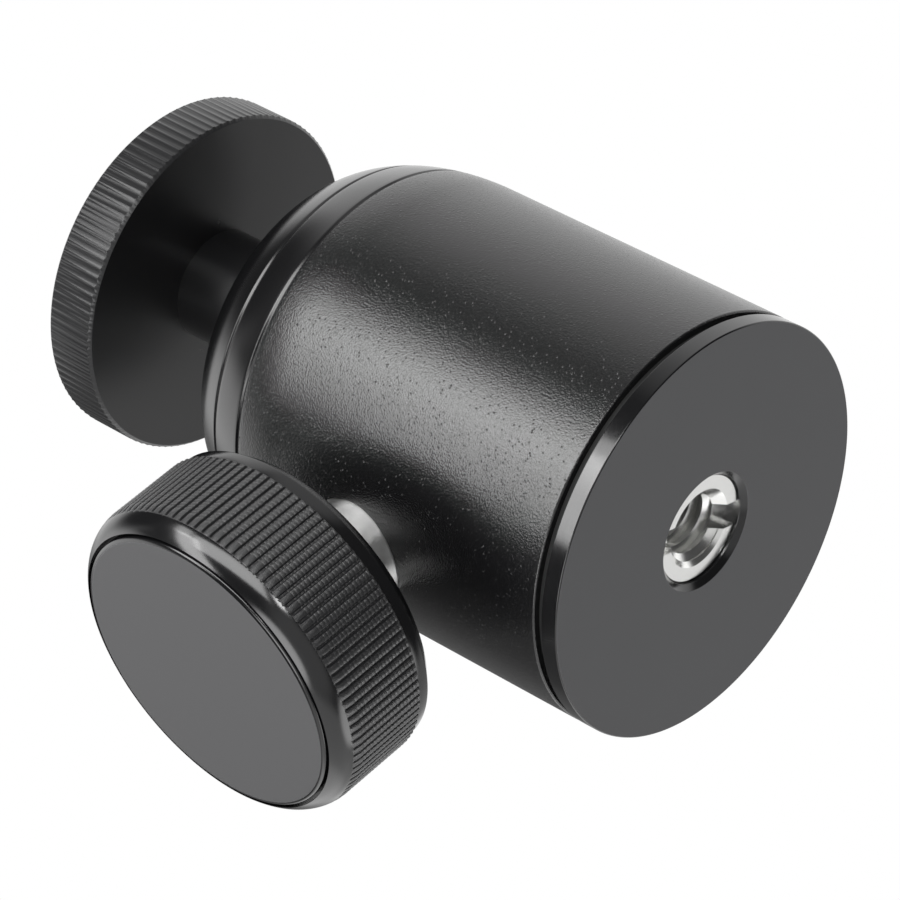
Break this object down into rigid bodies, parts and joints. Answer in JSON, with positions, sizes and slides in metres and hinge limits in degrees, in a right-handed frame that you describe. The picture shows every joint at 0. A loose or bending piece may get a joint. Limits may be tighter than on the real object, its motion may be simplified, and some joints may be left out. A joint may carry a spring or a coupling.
{
  "type": "tripod ball head",
  "caption": "Small tripod ball head: round barrel with a domed crown, side lock knob, ribbed camera platform on a stem, threaded tripod socket with a reducer.",
  "frame": {"origin": "middle of the flat base face, in the plane where the head stands on its tripod", "axes": "+Z along the barrel from the base face to the platform's camera screw; the lock knob points along -Y"},
  "size_m": [0.036, 0.0533, 0.0655],
  "materials": {
    "barrel": "sand-blasted, black anodised",
    "base_plate": "fine turned, black anodised",
    "base_gasket": "matt black",
    "reducer_bushing": "nickel-plated, turned",
    "wedge_bed": "plain turned",
    "springs": "drawn wire",
    "lock_sleeve": "bright turned",
    "seat_rings": "moulded acetal",
    "lower_cup": "plain turned",
    "wedge_plunger": "milled",
    "ball": "polished, black anodised",
    "knob_shell": "knurled, glossy black anodised",
    "knob_cap": "satin, black anodised",
    "screws": "zinc-plated",
    "stem": "polished, black anodised",
    "platform_disc": "turned and ribbed, black anodised",
    "platform_pad": "moulded, matt black",
    "camera_screw": "bright stainless"
  },
  "bodies": {
    "housing": {"barrel": "barrel", "base_plate": "base_plate", "base_gasket": "base_gasket", "reducer_bushing": "reducer_bushing", "wedge_bed": "wedge_bed", "cup_springs": "springs", "lock_sleeve": "lock_sleeve"},
    "seat_ring": {"upper_seat_ring": "seat_rings"},
    "ball": {"ball": "ball"},
    "platform": {"stem": "stem", "platform_disc": "platform_disc", "platform_pad": "platform_pad", "camera_screw": "camera_screw"},
    "cup": {"lower_cup": "lower_cup", "lower_seat_ring": "seat_rings"},
    "wedge": {"wedge_plunger": "wedge_plunger"},
    "knob": {"knob_shell": "knob_shell", "knob_cap": "knob_cap", "lock_screw": "screws", "knob_washer": "screws", "knob_screw": "screws"}
  },
  "joints": [
    {"name": "ball_pan", "type": "hinge", "parent": "housing", "child": "seat_ring", "pos_m": [0, 0, 0.0367], "axis": [0, 0, 1], "continuous": true},
    {"name": "ball_tilt", "type": "hinge", "parent": "seat_ring", "child": "ball", "pos_m": [0, 0, 0.0367], "axis": [1, 0, 0], "range_deg": [-34, 34]},
    {"name": "platform_spin", "type": "hinge", "parent": "ball", "child": "platform", "pos_m": [0, 0, 0.0367], "axis": [0, 0, 1], "continuous": true},
    {"name": "wedge_slide", "type": "slide", "parent": "housing", "child": "wedge", "axis": [0, 1, 0], "range_m": [-0.00101, 0.00003]},
    {"name": "knob_turn", "type": "hinge", "parent": "wedge", "child": "knob", "pos_m": [0, 0, 0.02174], "axis": [0, 1, 0], "range_deg": [-360, 0]},
    {"name": "cup_lift", "type": "slide", "parent": "housing", "child": "cup", "axis": [0, 0, 1], "range_m": [-0.000205, 0.00001], "deforming": ["cup_springs"]}
  ],
  "couplings": [
    {"joint": "wedge_slide", "follows": "knob_turn", "m_per_rad": 0.00015915},
    {"joint": "cup_lift", "follows": "knob_turn", "m_per_rad": 0.000031831}
  ]
}
